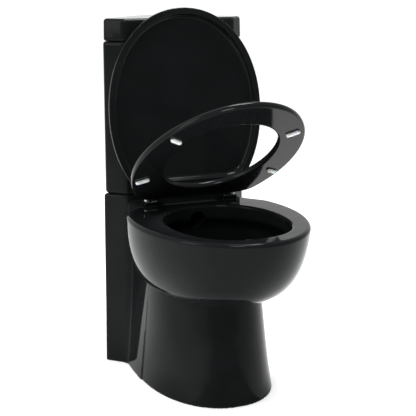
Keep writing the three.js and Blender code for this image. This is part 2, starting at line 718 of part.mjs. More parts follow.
const sealFrom = (low, x, y, outer, bore, segments) => (
  ring(x, y, low + JOINT_GAP, low + JOINT_GAP + SEAL_HIGH, outer, bore, segments)
);
add('flush_valve_base', valveBase(), WHITE_PLASTIC);
add('flush_valve_cage', valveCage(), WHITE_PLASTIC);
add('flush_valve_core', valveCore(), GREY_PLASTIC);
add('flush_seal_washer', sealFrom(BASE_TOP, 0, VALVE_Y, CORE.disc + RUN, CORE.bore + 1, 24), RUBBER, MATTE);
const backnut = ring(0, VALVE_Y, DECK_Z - BACKNUT.high, DECK_Z, BACKNUT.outer, VALVE_TAIL_R + RUN, 24);
add('flush_valve_backnut', backnut, WHITE_PLASTIC);
const doughnut = ring(
  0, VALVE_Y, RECESS_Z + JOINT_GAP, DECK_Z - 0.2, RECESS_R - RUN, BACKNUT.outer + RUN, 24,
);
add('doughnut_gasket', doughnut, RUBBER, MATTE);

add('fill_valve_riser', fillRiser(), WHITE_PLASTIC);
add('fill_valve_head', fillHead(), WHITE_PLASTIC);
add('fill_valve_float', floatCup(), GREY_PLASTIC);
add('fill_valve_lever', floatLever(), GREY_PLASTIC);
const tailSeal = sealFrom(TANK_FLOOR, FILL.x, FILL.y, RISER.flangeR, RISER.radius + RUN);
add('fill_valve_seal', tailSeal, RUBBER, MATTE);
const tailNut = ring(
  FILL.x, FILL.y, DECK_Z - RISER.nutHigh, DECK_Z, RISER.flangeR, RISER.radius + RUN,
);
add('fill_valve_backnut', tailNut, WHITE_PLASTIC);

// ---- fixings, one of each on the left and right ----
const SIDES = [['left', -1], ['right', 1]];
const CISTERN_BOLT = { low: 385, radius: 4, headR: 9, headHigh: 5, sealR: 13 };
const BOLT_WASHER = { outer: 12, high: 2 };
const WING = { hub: 8, hubHigh: 9.4, below: 2.4, half: 17, halfThick: 1.5, high: 10 };

for (const [label, side] of SIDES) {
  const x = side * BOLT.x;
  const { y } = BOLT;
  const { low, radius, headR, headHigh, sealR } = CISTERN_BOLT;
  const head = TANK_FLOOR + SEAL_HIGH + 1 + 2 * JOINT_GAP;
  const bolt = rod(x, y, low, head + 1, radius, 12).add(rod(x, y, head, head + headHigh, headR, 6));
  add(`cistern_bolt_${label}`, bolt, STEEL, 0.35, 1);
  const seal = ring(x, y, TANK_FLOOR + JOINT_GAP, head - JOINT_GAP, sealR, radius + RUN);
  add(`cistern_bolt_seal_${label}`, seal, RUBBER, MATTE);
  const washerTop = DECK_Z - WALL - JOINT_GAP;
  const washer = ring(x, y, washerTop - BOLT_WASHER.high, washerTop, BOLT_WASHER.outer, radius + RUN);
  add(`cistern_bolt_washer_${label}`, washer, STEEL, 0.35, 1);
  const nutTop = washerTop - BOLT_WASHER.high - JOINT_GAP;
  const wingTop = nutTop - WING.below;
  const wings = box(-WING.half, WING.half, -WING.halfThick, WING.halfThick, wingTop - WING.high, wingTop);
  const nut = rod(x, y, nutTop - WING.hubHigh, nutTop, WING.hub)
    .add(wings.translate([x, y, 0]))
    .subtract(rod(x, y, low - 15, DECK_Z, radius + RUN, 12));
  add(`cistern_wing_nut_${label}`, nut, STEEL, 0.35, 1);
}

const CAP_R = 6.5;

for (const [label, side] of SIDES) {
  const x = side * HINGE_BOLT.x;
  const { y } = HINGE_BOLT;
  add(`seat_hinge_post_${label}`, hingePost(side), BLACK_PLASTIC, 0.15);
  const pin = axle(SEAT_LUG[0], COVER_LUG[1], HINGE_Y, HINGE_Z, PIN_R, 24);
  add(`seat_hinge_pin_${label}`, mirror(pin, side), STEEL, 0.3, 1);
  const fixing = rod(x, y, RIM_Z - HINGE_BOLT.deep - 1, BLOCK_TOP + 1, FIXING_R, 12)
    .add(rod(x, y, BLOCK_TOP + JOINT_GAP, BLOCK_TOP + SEAL_HIGH + JOINT_GAP, CAP_R));
  add(`seat_fixing_bolt_${label}`, fixing, STEEL, 0.35, 1);
}

const SCREW = { radius: 4, headR: 8, headHigh: 5, low: 1 };
const SLEEVE = { radius: 6.6, flangeR: 12, flangeHigh: 2.3 };

for (const [label, side] of SIDES) {
  const x = side * FLOOR_SCREW.x;
  const { y } = FLOOR_SCREW;
  const top = LUG_BLOCK.high;
  const screw = rod(x, y, SCREW.low, top + 4, SCREW.radius, 12)
    .add(rod(x, y, top + 3, top + 3 + SCREW.headHigh, SCREW.headR, 6));
  add(`floor_screw_${label}`, screw, STEEL, 0.35, 1);
  const sleeve = rod(x, y, SCREW.low + 1, top + 1, SLEEVE.radius)
    .add(rod(x, y, top + JOINT_GAP, top + JOINT_GAP + SLEEVE.flangeHigh, SLEEVE.flangeR))
    .subtract(rod(x, y, 0, top + 5, SCREW.radius + RUN, 12));
  add(`floor_screw_sleeve_${label}`, sleeve, WHITE_PLASTIC);
}

add('seat_ring', raised(seat(), SEAT_ANGLE), BLACK_PLASTIC, 0.15);
add('seat_cover', raised(cover(), COVER_ANGLE), BLACK_PLASTIC, 0.15);
const BUFFER_NAMES = ['front', 'rear'];
for (const [label, side] of SIDES) {
  BUFFERS.forEach(([x, y], i) => {
    const solid = raised(buffer(x, y, side), SEAT_ANGLE);
    add(`seat_buffer_${BUFFER_NAMES[i]}_${label}`, solid, BUFFER_WHITE, 0.5);
  });
}

// The origin lies on the floor under the middle of the whole object
const whole = new THREE.Box3().setFromObject(group);
for (const mesh of group.children) {
  mesh.geometry.translate(0, -(whole.min.y + whole.max.y) / 2, 0);
}

export default group;
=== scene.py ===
import math

import bpy
import numpy as np
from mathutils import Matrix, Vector


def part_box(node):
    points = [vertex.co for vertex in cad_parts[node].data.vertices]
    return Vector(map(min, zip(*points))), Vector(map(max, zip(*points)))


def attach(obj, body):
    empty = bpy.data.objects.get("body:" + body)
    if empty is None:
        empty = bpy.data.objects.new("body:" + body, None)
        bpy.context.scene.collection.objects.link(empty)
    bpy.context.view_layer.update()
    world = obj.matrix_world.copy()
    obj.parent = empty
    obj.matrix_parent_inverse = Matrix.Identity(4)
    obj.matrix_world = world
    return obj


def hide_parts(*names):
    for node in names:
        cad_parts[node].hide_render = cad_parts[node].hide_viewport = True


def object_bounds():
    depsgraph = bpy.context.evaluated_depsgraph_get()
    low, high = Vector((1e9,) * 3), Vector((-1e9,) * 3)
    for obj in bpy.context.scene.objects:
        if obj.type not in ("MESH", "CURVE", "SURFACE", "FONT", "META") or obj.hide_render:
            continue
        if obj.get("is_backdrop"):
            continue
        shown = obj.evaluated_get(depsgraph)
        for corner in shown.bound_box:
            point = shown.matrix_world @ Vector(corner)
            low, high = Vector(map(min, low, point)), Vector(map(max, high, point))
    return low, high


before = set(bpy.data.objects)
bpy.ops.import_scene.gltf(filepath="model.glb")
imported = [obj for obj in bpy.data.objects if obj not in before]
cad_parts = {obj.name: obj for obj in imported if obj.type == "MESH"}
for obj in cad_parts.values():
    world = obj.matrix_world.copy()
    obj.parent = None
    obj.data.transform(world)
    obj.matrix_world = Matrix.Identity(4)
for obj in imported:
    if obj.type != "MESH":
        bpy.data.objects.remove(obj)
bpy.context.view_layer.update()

MM = 0.001
ROOT_HALF = math.sqrt(0.5)

# ---- sizes in millimetres; Y is counted from the column's front face ----
RIM_Z, DECK_Z, LID_JOINT_Z, LID_TOP_Z = 403.0, 418.0, 778.0, 830.5
JOINT_GAP = 0.3
COLUMN_HALF, CHAMFER, BACK_HALF = 182.0, 42.4, 30.0
BACK_Y = COLUMN_HALF + CHAMFER - BACK_HALF
COLUMN_TAPER, TANK_TAPER, LID_TAPER = (-6.0, 0.0), (2.5, 3.0), (3.0, 4.5)
LID_INSET = 1.5
EDGE_R = 7.0
WALL, TANK_WALL, LID_PLATE = 13.0, 12.0, 13.0
HINGE_Y, HINGE_Z = -59.5, RIM_Z + 26.5
SEAT_ANGLE, COVER_ANGLE = 36.6, 95.4
VALVE_Y = 78.0
FILL_X, FILL_Y = -92.0, 72.0
BOLT_X, BOLT_Y = 64.0, 34.0
TANK_LOW = DECK_Z + JOINT_GAP
LID_LOW = LID_JOINT_Z + JOINT_GAP

Y_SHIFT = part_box("cistern_tank")[1].y / MM - BACK_Y


# ---- distance fields: negative inside, in millimetres ----
def soft_union(a, b, k):
    h = np.maximum(k - np.abs(a - b), 0.0)
    return np.minimum(a, b) - h * h / (4 * k)


def soft_cut(a, b, k):
    return -soft_union(-a, -b, k)


def corner(a, b, r, c=0.0):
    """Outside corner of two faces rounded to radius r; c is the cosine between their normals."""
    p, q = a + r, b + r
    arc = (p > c * q) & (q > c * p)
    reach = np.sqrt(np.maximum(p * p + q * q - 2 * c * p * q, 0) / (1 - c * c))
    return np.where(arc, reach - r, np.maximum(a, b))


def smooth(x, a, b):
    t = np.clip((x - a) / (b - a), 0, 1)
    return t * t * (3 - 2 * t)


def mix(a, b, t):
    return a + (b - a) * t


def oval(x, y, a, b, yc, n):
    px = np.abs(x) / a
    py = np.abs(y - yc) / b
    rho = np.maximum(px**n + py**n, 1e-9) ** (1 / n)
    gx = (px / rho) ** (n - 1) / a
    gy = (py / rho) ** (n - 1) / b
    return (rho - 1) / np.sqrt(gx * gx + gy * gy + 1e-12)


def cylinder(x, y, z, xc, yc, low, high, radius, edge=1.0):
    side = np.hypot(x - xc, y - yc) - radius
    return corner(side, np.maximum(z - high, low - z), edge)


def slab(x, low, high):
    return np.maximum(x - high, low - x)


def block(x, y, z, x0, x1, y0, y1, z0, z1, edge=1.0):
    plan = corner(slab(x, x0, x1), slab(y, y0, y1), edge)
    return corner(plan, slab(z, z0, z1), edge)


def tapered(z, low, high, ends):
    return mix(ends[0], ends[1], np.clip((z - low) / (high - low), 0, 1))


def corner_plan(x, y, inset, taper=0.0, side=12):
    """The corner outline shared by the column, cistern and lid."""
    x = np.abs(x)
    front = inset + taper - y
    cut = (x - y - (COLUMN_HALF - CHAMFER)) * ROOT_HALF + inset + taper
    wall = (x + y - (COLUMN_HALF + CHAMFER)) * ROOT_HALF + inset
    back = y - BACK_Y + inset
    d = corner(front, cut, max(20 - inset, 2), ROOT_HALF)
    d = corner(d, wall, max(side - inset, 2))
    return corner(d, back, max(10 - inset, 2), ROOT_HALF)


# ---- pan ----
CUP_A, CUP_B, CUP_Y, CUP_N = 193.0, 268.0, -215.5, 1.98
CUP_DEPTH, CUP_SHIFT, CUP_SIDE, CUP_TOP = 175.0, 27.0, 2.22, 5.1
WALL_FRONT = (146.0, 119.0)
WALL_BACK = (144.5, 130.0)
# Half width, half length, centre and power of the pedestal's outline at the floor and at its top
PEDESTAL_FLOOR, PEDESTAL_TOP = (148.0, 237.0, -113.0, 2.19), (129.5, 184.0, -118.0, 2.14)
PEDESTAL_TOP_Z, PEDESTAL_END_Z = 225.0, 243.0
NECK_Y = (-110.0, 20.0)
TRAP_OUTSIDE_R, TRAP_INSIDE_R, OUTLET_END = 47.0, 36.0, 158.0
FLUSH_PIPE_Z, FLUSH_PIPE_R, FLUSH_BORE_R = 369, 29, 19
SUMP_Z = 149.0


def cup(x, y, z):
    yn = np.minimum(y, 10.0)
    rim = CUP_A * (1 - (np.abs(yn - CUP_Y) / CUP_B) ** CUP_N).clip(1e-3) ** (1 / CUP_N)
    half = mix(128.0, 135.0, np.clip(yn / -35.0, 0, 1))
    widen = 1 + (half / rim - 1) * smooth(yn, -120.0, -35.0)
    u = np.maximum((RIM_Z - z) / CUP_DEPTH, 0)
    px = np.abs(x) / (widen * CUP_A)
    dy = y - CUP_Y - CUP_SHIFT * u
    py = np.abs(dy) / CUP_B
    rho = np.maximum(px**CUP_N + py**CUP_N, 1e-6) ** (1 / CUP_N)
    pull = CUP_TOP * rho ** (CUP_TOP - 1)
    gx = pull * (px / rho) ** (CUP_N - 1) / (CUP_A * widen)
    gy = pull * (py / rho) ** (CUP_N - 1) / CUP_B * np.sign(dy)
    gz = gy * CUP_SHIFT / CUP_DEPTH - CUP_SIDE * u ** (CUP_SIDE - 1) / CUP_DEPTH
    value = rho**CUP_TOP + u**CUP_SIDE - 1
    return np.clip(value / np.sqrt(gx * gx + gy * gy + gz * gz + 1e-8), -120, 400)


def pedestal(x, y, z, inset):
    t = (np.clip(z, 0, 249) / PEDESTAL_TOP_Z) ** 0.8
    a, b, yc, n = [mix(low, high, t) for low, high in zip(PEDESTAL_FLOOR, PEDESTAL_TOP)]
    return oval(x, y, a - inset, b - inset, yc, n)


# Inside of the bowl: height, half width, half length, centre and power of each section
BOWL = np.array([
    (129, 40, 44, -205, 2), (149, 44, 48, -206, 2), (179, 50, 54, -208, 2),
    (219, 62, 66, -212, 2.05), (241, 80, 84, -219, 2.05), (255, 104, 110, -229, 2.05),
    (274, 132, 142, -246, 2.05), (304, 148, 163, -256, 2.05), (344, 158, 176, -264, 2.05),
    (361, 146, 170, -267, 2.1), (368, 131, 164, -270, 2.2), (395, 131, 164, -270, 2.2),
    (419, 131, 164, -270, 2.2),
], float)


def eased(table, spread):
    """The table's columns on a fine, even grid, smoothed over a few millimetres."""
    fine = np.arange(table[0, 0], table[-1, 0], 0.1)
    reach = np.arange(-3 * spread, 3 * spread, 0.1)
    kernel = np.exp(-0.5 * (reach / spread) ** 2)
    kernel /= kernel.sum()
    columns = []
    for n in range(1, table.shape[1]):
        row = np.pad(np.interp(fine, table[:, 0], table[:, n]), len(kernel), mode="edge")
        columns.append(np.convolve(row, kernel, "same")[len(kernel):-len(kernel)])
    return fine, columns


BOWL_Z, BOWL_COLUMNS = eased(BOWL, 5.0)


def bowl(x, y, z, grow=0.0):
    a, b, yc, n = [np.interp(z, BOWL_Z, column) for column in BOWL_COLUMNS]
    return oval(x, y, a + grow, b + grow, yc, n)


TRAP = np.array([
    (-215, 177), (-130, 179), (-62, 211), (-28, 275), (16, 295), (58, 266), (78, 207),
    (128, 180), (158, 180),
], float)
TRAP_CELL = 1.0
TRAP_LOW = np.array((-320.0, 40.0))
TRAP_SIZE = (560, 400)


def catmull(points, count):
    """Points along a centripetal Catmull-Rom curve."""
    ends = np.vstack([2 * points[0] - points[1], points, 2 * points[-1] - points[-2]])
    out = []
    for i in range(len(points) - 1):
        p = ends[i:i + 4]
        t = np.concatenate([[0], np.cumsum(np.linalg.norm(np.diff(p, axis=0), axis=1) ** 0.5)])
        for s in np.linspace(t[1], t[2], count, endpoint=False):
            a = [p[j] + (p[j + 1] - p[j]) * (s - t[j]) / (t[j + 1] - t[j]) for j in range(3)]
            b = [a[j] + (a[j + 1] - a[j]) * (s - t[j]) / (t[j + 2] - t[j]) for j in range(2)]
            out.append(b[0] + (b[1] - b[0]) * (s - t[1]) / (t[2] - t[1]))
    return np.array(out + [points[-1]])


def trap_table():
    y = TRAP_LOW[0] + np.arange(TRAP_SIZE[0]) * TRAP_CELL
    z = TRAP_LOW[1] + np.arange(TRAP_SIZE[1]) * TRAP_CELL
    y, z = np.meshgrid(y, z, indexing="ij")
    best = np.full(y.shape, 1e9)
    line = catmull(TRAP, 10)
    for p, q in zip(line[:-1], line[1:]):
        e = q - p
        t = np.clip(((y - p[0]) * e[0] + (z - p[1]) * e[1]) / (e @ e), 0, 1)
        best = np.minimum(best, np.hypot(y - p[0] - t * e[0], z - p[1] - t * e[1]))
    return best


TRAP_FAR = trap_table()


def trap(x, y, z, radius, end):
    fy = np.clip((y - TRAP_LOW[0]) / TRAP_CELL, 0, TRAP_SIZE[0] - 1.001)
    fz = np.clip((z - TRAP_LOW[1]) / TRAP_CELL, 0, TRAP_SIZE[1] - 1.001)
    i, j = fy.astype(int), fz.astype(int)
    u, v = fy - i, fz - j
    far = mix(
        mix(TRAP_FAR[i, j], TRAP_FAR[i + 1, j], u),
        mix(TRAP_FAR[i, j + 1], TRAP_FAR[i + 1, j + 1], u),
        v,
    )
    return corner(np.hypot(x, far) - radius, y - end, 1.5)


def pan(x, y, z):
    rim = corner(cup(x, y, z), z - RIM_Z, 10.0)
    foot = np.maximum(pedestal(x, y, z, 0.0), z - PEDESTAL_END_Z)
    body = soft_union(rim, foot, 6.0)
    ends = [tapered(z, 0.0, PEDESTAL_TOP_Z, end) for end in (WALL_FRONT, WALL_BACK)]
    neck_half = tapered(y, *NECK_Y, ends)
    neck = np.maximum(np.maximum(np.abs(x) - neck_half, slab(y, NECK_Y[0], 30.0)), z - RIM_Z + 12)
    body = soft_union(body, neck, 14.0)
    taper = tapered(z, 0.0, DECK_Z, COLUMN_TAPER)
    column = corner(corner_plan(x, y, 0.0, taper, 5), z - DECK_Z, EDGE_R)
    body = soft_union(body, column, mix(12.0, 5.0, smooth(z, 0.0, RIM_Z)))
    body = corner(body, -z, 2.0)
    hollow = np.maximum(pedestal(x, y, z, WALL), z - PEDESTAL_TOP_Z)
    hollow = np.minimum(hollow, np.maximum(corner_plan(x, y, WALL, taper, 5), z - DECK_Z + WALL))
    passage = np.maximum(np.maximum(np.abs(x) - neck_half + WALL, slab(y, -95.0, 20.0)), z - RIM_Z + WALL)
    hollow = np.minimum(hollow, passage)
    window = corner(corner(np.abs(x) - 96, z - 310, 12.0), slab(y, 90.0, 250.0), 1.0)
    hollow = soft_union(hollow, window, 2.0)
    shell = np.maximum(bowl(x, y, z, WALL), SUMP_Z - WALL - z)
    hollow = soft_cut(hollow, -shell, 12.0)
    body = soft_cut(body, -hollow, 2.0)
    body = soft_union(body, trap(x, y, z, TRAP_OUTSIDE_R, OUTLET_END), 6.0)
    boss = cylinder(x, y, z, 0, VALVE_Y, 340.0, DECK_Z - 2, 59.5, 4.0)
    body = soft_union(body, boss, 4.0)
    pipe = corner(np.hypot(x, z - FLUSH_PIPE_Z) - FLUSH_PIPE_R, slab(y, -95.0, VALVE_Y), 1.0)
    body = soft_union(body, pipe, 4.0)
    ear = block(np.abs(x), y, z, 110, 177, 28, 68, 0, 18, 2.0)
    ear = np.maximum(ear, corner_plan(x, y, WALL / 2, taper, 5))
    body = soft_union(body, ear, 3.0)
    sump = corner(bowl(x, y, z), SUMP_Z - z, 18.0)
    water = soft_union(sump, trap(x, y, z, TRAP_INSIDE_R, OUTLET_END + 12), 12.0)
    body = corner(body, -water, 7.0)
    above = DECK_Z + 20
    holes = cylinder(x, y, z, 0, VALVE_Y, 391.0, above, 46.5)
    holes = np.minimum(holes, cylinder(x, y, z, 0, VALVE_Y, 369.0, 399.0, 22.0))
    bore = corner(np.hypot(x, z - FLUSH_PIPE_Z) - FLUSH_BORE_R, slab(y, -106.0, VALVE_Y), 1.0)
    holes = np.minimum(holes, bore)
    holes = np.minimum(holes, cylinder(x, y, z, FILL_X, FILL_Y, 391.0, above, 20.0))
    side = np.abs(x)
    holes = np.minimum(holes, cylinder(side, y, z, BOLT_X, BOLT_Y, 391.0, above, 6.0))
    holes = np.minimum(holes, cylinder(side, y, z, 108.0, -57.5, 349.0, above, 6.0))
    holes = np.minimum(holes, cylinder(side, y, z, 132.0, 48.0, -20.0, 30.0, 7.0))
    return corner(body, -holes, 1.5)


# ---- cistern and its lid ----
def tank(x, y, z):
    taper = tapered(z, TANK_LOW, LID_JOINT_Z, TANK_TAPER)
    outside = corner(corner_plan(x, y, 0.0, taper), slab(z, TANK_LOW, LID_JOINT_Z), EDGE_R)
    inside = corner(corner_plan(x, y, TANK_WALL, taper), TANK_LOW + TANK_WALL - z, 8.0)
    body = corner(outside, -inside, 2.0)
    holes = cylinder(x, y, z, 0, VALVE_Y, 399.0, 449.0, 33.0)
    holes = np.minimum(holes, cylinder(x, y, z, FILL_X, FILL_Y, 399.0, 449.0, 11.0))
    holes = np.minimum(holes, cylinder(np.abs(x), y, z, BOLT_X, BOLT_Y, 399.0, 449.0, 6.0))
    return corner(body, -holes, 1.0)


def lid(x, y, z):
    plan = corner_plan(x, y, LID_INSET, tapered(z, LID_LOW, LID_TOP_Z, LID_TAPER))
    outside = corner(corner(plan, z - LID_TOP_Z, 8.0), LID_LOW - z, 6.0)
    lip = np.maximum(corner_plan(x, y, TANK_WALL + 2, LID_TAPER[0]), slab(z, LID_LOW - 9, LID_TOP_Z - 5))
    inside = corner(corner_plan(x, y, TANK_WALL + 8, LID_TAPER[0]), z - LID_TOP_Z + LID_PLATE, 10.0)
    body = corner(soft_union(outside, lip, 1.0), -inside, 1.5)
    return corner(body, -cylinder(x, y, z, 0, VALVE_Y, 700.0, 900.0, 27.0), 1.0)


# ---- seat and cover, drawn flat and raised about the hinge ----
LUG_R, PIN_R = 9.0, 4.3
BACK_EDGE = -73.0


def lugs(x, y, z, low, high, arm_low, arm_high):
    middle, half = (low + high) / 2, (high - low) / 2
    side = np.abs(x) - middle
    barrel = corner(np.hypot(y - HINGE_Y, z - HINGE_Z) - LUG_R, np.abs(side) - half, 1.0)
    arm = block(side, y, z, -half, half, BACK_EDGE - 8, HINGE_Y, arm_low, arm_high, 1.0)
    return soft_union(barrel, arm, 3.0)


def pin_hole(y, z):
    return np.hypot(y - HINGE_Y, z - HINGE_Z) - PIN_R


def seat(x, y, z):
    outer = soft_cut(oval(x, y, 190, 244, -247, 2), y - BACK_EDGE, 22.0)
    hole = oval(x, y, 126, 148, -268, 2.07)
    under, top = RIM_Z + 6 - z, z - RIM_Z - 22
    ring = corner(corner(np.maximum(outer, -hole), top, 8.0), under, 4.0)
    ring = soft_union(ring, lugs(x, y, z, 66.0, 81.5, HINGE_Z - LUG_R, RIM_Z + 21.5), 3.0)
    return np.maximum(ring, -pin_hole(y, z))


def cover(x, y, z):
    plan = soft_cut(oval(x, y, 190, 239, -248, 2.09), y - BACK_EDGE, 22.0)
    deep = np.clip(-plan, 0, 95) / 95
    base = RIM_Z + 26
    crown = base + 22 - 4.8 * (1 - deep) ** 2
    outside = corner(corner(plan, z - crown, 13.0), base - z, 1.8)
    roof = base + 18 - 4.5 * (1 - deep) ** 2
    dish = corner(plan + 15, z - roof, 9.0)
    body = corner(outside, -dish, 2.0)
    body = soft_union(body, lugs(x, y, z, 100.0, 115.5, base + 1, HINGE_Z + LUG_R - 1), 3.0)
    return np.maximum(body, -pin_hole(y, z))


def buffer(x0, y0):
    turn = math.atan2(x0, y0 + 268)

    def field(x, y, z):
        dx, dy = x - x0, y - y0
        across = dx * math.cos(turn) - dy * math.sin(turn)
        along = dx * math.sin(turn) + dy * math.cos(turn)
        plan = np.hypot(across, np.maximum(np.abs(along) - 11, 0)) - 5
        return corner(corner(plan, RIM_Z + JOINT_GAP - z, 2.4), z - RIM_Z - 5.7, 0.3)

    return field


def hinge_post(x, y, z):
    x = np.abs(x)
    foot = block(x, y, z, 82, 116, -71, -44, RIM_Z + 0.3, RIM_Z + 10, 2.0)
    stem = block(x, y, z, 82, 99.5, HINGE_Y - 7.5, HINGE_Y + 9, RIM_Z + 9, HINGE_Z, 1.0)
    barrel = corner(np.hypot(y - HINGE_Y, z - HINGE_Z) - LUG_R, slab(x, 82.0, 99.5), 1.0)
    body = soft_union(soft_union(foot, stem, 4.0), barrel, 0.5)
    body = np.maximum(body, -pin_hole(y, z))
    return np.maximum(body, 4.3 - np.hypot(x - 108, y + 57.5))


# ---- dual flush buttons ----
SPLIT_X, BUTTON_R = 7.0, 24.0


def collar(x, y, z):
    r = np.hypot(x, y - VALVE_Y)
    flange = corner(r - 31, slab(z, LID_TOP_Z + JOINT_GAP, LID_TOP_Z + 2.4), 0.9)
    sleeve = corner(r - 26.7, slab(z, LID_TOP_Z - 30, LID_TOP_Z + 1.5), 0.5)
    return corner(soft_union(flange, sleeve, 0.5), 24.3 - r, 0.7)


def button(x0, x1, rod_x):
    def field(x, y, z):
        r = np.hypot(x, y - VALVE_Y)
        top = z - LID_TOP_Z - 1.8 + 0.0012 * r * r
        cap = corner(corner(r - BUTTON_R, slab(x, x0, x1), 1.0), top, 1.0)
        cap = np.maximum(cap, LID_TOP_Z - 8 - z)
        rod = cylinder(x, y, z, rod_x, VALVE_Y, 710.0, LID_TOP_Z - 5, 3.0, 0.8)
        return soft_union(cap, rod, 2.0)

    return field


# ---- meshes from fields ----
def gradient(field, points, step):
    out = np.empty_like(points)
    for n in range(3):
        e = np.zeros(3)
        e[n] = step
        out[:, n] = (field(*(points + e).T) - field(*(points - e).T)) / (2 * step)
    return out


def net(field, low, high, step):
    """A closed quad mesh on the field's zero surface, with the surface's own normals."""
    axes = [np.arange(lo - 2 * step, hi + 3 * step, step) for lo, hi in zip(low, high)]
    value = np.concatenate([
        field(*np.meshgrid(part, axes[1], axes[2], indexing="ij"))
        for part in np.array_split(axes[0], max(1, len(axes[0]) // 24))
    ])
    value[np.abs(value) < 1e-6] = 1e-6
    shape = np.array(value.shape)
    corners = [(i, j, k) for i in (0, 1) for j in (0, 1) for k in (0, 1)]

    def view(c):
        return value[tuple(slice(c[n], shape[n] - 1 + c[n]) for n in range(3))]

    negative = sum((view(c) < 0).astype(np.int8) for c in corners)
    cells = np.argwhere((negative > 0) & (negative < 8))
    index = np.full(shape - 1, -1, np.int64)
    index[tuple(cells.T)] = np.arange(len(cells))
    at = {c: value[tuple((cells + c).T)] for c in corners}
    total = np.zeros((len(cells), 3))
    count = np.zeros(len(cells))
    for c in corners:
        for axis in range(3):
            if c[axis]:
                continue
            d = tuple(1 if n == axis else c[n] for n in range(3))
            crossing = (at[c] < 0) != (at[d] < 0)
            t = np.where(crossing, at[c] / np.where(crossing, at[c] - at[d], 1.0), 0.0)
            spot = np.tile(np.array(c, float), (len(cells), 1))
            spot[:, axis] += t
            total += spot * crossing[:, None]
            count += crossing
    origin = np.array([axis[0] for axis in axes])
    start = (cells + total / count[:, None]) * step + origin

    quads = []
    inside = value < 0
    for axis in range(3):
        u, v = (axis + 1) % 3, (axis + 2) % 3
        near = [slice(1, shape[n] - 1) for n in range(3)]
        far = list(near)
        near[axis] = slice(0, shape[axis] - 1)
        far[axis] = slice(1, shape[axis])
        first, second = inside[tuple(near)], inside[tuple(far)]
        found = np.argwhere(first != second)
        out = first[tuple(found.T)]
        base = found + 1
        base[:, axis] -= 1
        ring = []
        for du, dv in ((0, 0), (1, 0), (1, 1), (0, 1)):
            q = base.copy()
            q[:, u] -= 1 - du
            q[:, v] -= 1 - dv
            ring.append(index[tuple(q.T)])
        quad = np.stack(ring, 1)
        quad[~out] = quad[~out][:, ::-1]
        quads.append(quad)
    quads = np.concatenate(quads)

    points = start.copy()
    for _ in range(3):
        slope = gradient(field, points, 0.05)
        size = np.maximum((slope * slope).sum(1), 0.05)
        points = points - (field(*points.T) / size)[:, None] * slope
        away = points - start
        far = np.linalg.norm(away, axis=1, keepdims=True)
        points = start + away * np.minimum(1, 0.7 * step / np.maximum(far, 1e-9))
    normals = gradient(field, points, 0.05)
    normals /= np.maximum(np.linalg.norm(normals, axis=1, keepdims=True), 1e-9)
    return points, quads, normals


def raised(points, angle, y=HINGE_Y, z=HINGE_Z):
    c, s = math.cos(math.radians(angle)), math.sin(math.radians(angle))
    dy, dz = points[:, 1] - y, points[:, 2] - z
    return np.stack([points[:, 0], y + dy * c + dz * s, z - dy * s + dz * c], 1)


def piece(name, field, low, high, step, body, slot, replaced, angle=0.0):
    """A mesh object made from a field, riding on a CAD body in place of a CAD node."""
    points, quads, normals = net(field, low, high, step)
    if angle:
        points = raised(points, angle)
        normals = raised(normals, angle, 0.0, 0.0)
    mesh = bpy.data.meshes.new(name)
    mesh.from_pydata(((points + (0, Y_SHIFT, 0)) * MM).tolist(), [], quads.tolist())
    mesh.update()
    mesh.polygons.foreach_set("use_smooth", np.ones(len(mesh.polygons), bool))
    mesh.normals_split_custom_set_from_vertices(normals.tolist())
    obj = bpy.data.objects.new(name, mesh)
    bpy.context.scene.collection.objects.link(obj)
    obj.data.materials.append(MATERIALS[slot])
    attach(obj, body)
    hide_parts(replaced)
    return obj


# ---- materials ----
def node_tree(name):
    material = bpy.data.materials.new(name)
    material.use_nodes = True
    nodes = material.node_tree.nodes
    return material, nodes, material.node_tree.links, nodes["Principled BSDF"]


def noise(nodes, links, vector, scale, detail=2.0, roughness=0.5):
    n = nodes.new("ShaderNodeTexNoise")
    n.inputs["Scale"].default_value = scale
    n.inputs["Detail"].default_value = detail
    n.inputs["Roughness"].default_value = roughness
    links.new(vector, n.inputs["Vector"])
    return n.outputs["Fac"]


def ranged(nodes, links, value, low, high, from_low=0.0, from_high=1.0):
    n = nodes.new("ShaderNodeMapRange")
    for key, number in (("From Min", from_low), ("From Max", from_high), ("To Min", low), ("To Max", high)):
        n.inputs[key].default_value = number
    links.new(value, n.inputs["Value"])
    return n.outputs["Result"]


def bumped(nodes, links, height, strength, distance, normal=None):
    n = nodes.new("ShaderNodeBump")
    n.inputs["Strength"].default_value = strength
    n.inputs["Distance"].default_value = distance
    links.new(height, n.inputs["Height"])
    if normal is not None:
        links.new(normal, n.inputs["Normal"])
    return n.outputs["Normal"]


def surface(name, color, roughness, spread, metallic=0.0, specular=0.5, bumps=(), shade=0.0, extra=()):
    """A procedural finish: roughness mottle, bumps as (scale, height in metres, detail), colour drift."""
    material, nodes, links, shader = node_tree(name)
    place = nodes.new("ShaderNodeTexCoord").outputs["Object"]
    shader.inputs["Metallic"].default_value = metallic
    shader.inputs["Specular IOR Level"].default_value = specular
    for key, number in extra:
        shader.inputs[key].default_value = number
    mottle = noise(nodes, links, place, 34.0, 4.0, 0.6)
    gloss = ranged(nodes, links, mottle, roughness - spread, roughness + spread, 0.3, 0.7)
    links.new(gloss, shader.inputs["Roughness"])
    drift = noise(nodes, links, place, 9.0, 3.0)
    blend = nodes.new("ShaderNodeMix")
    blend.data_type = "RGBA"
    blend.inputs["A"].default_value = (*[c * (1 - shade) for c in color], 1)
    blend.inputs["B"].default_value = (*[min(1.0, c * (1 + shade)) for c in color], 1)
    links.new(ranged(nodes, links, drift, 0.0, 1.0, 0.3, 0.7), blend.inputs["Factor"])
    links.new(blend.outputs["Result"], shader.inputs["Base Color"])
    normal = None
    for scale, height, detail in bumps:
        field = noise(nodes, links, place, scale, detail)
        normal = bumped(nodes, links, field, 1.0, height, normal)
    if normal is not None:
        links.new(normal, shader.inputs["Normal"])
    return material


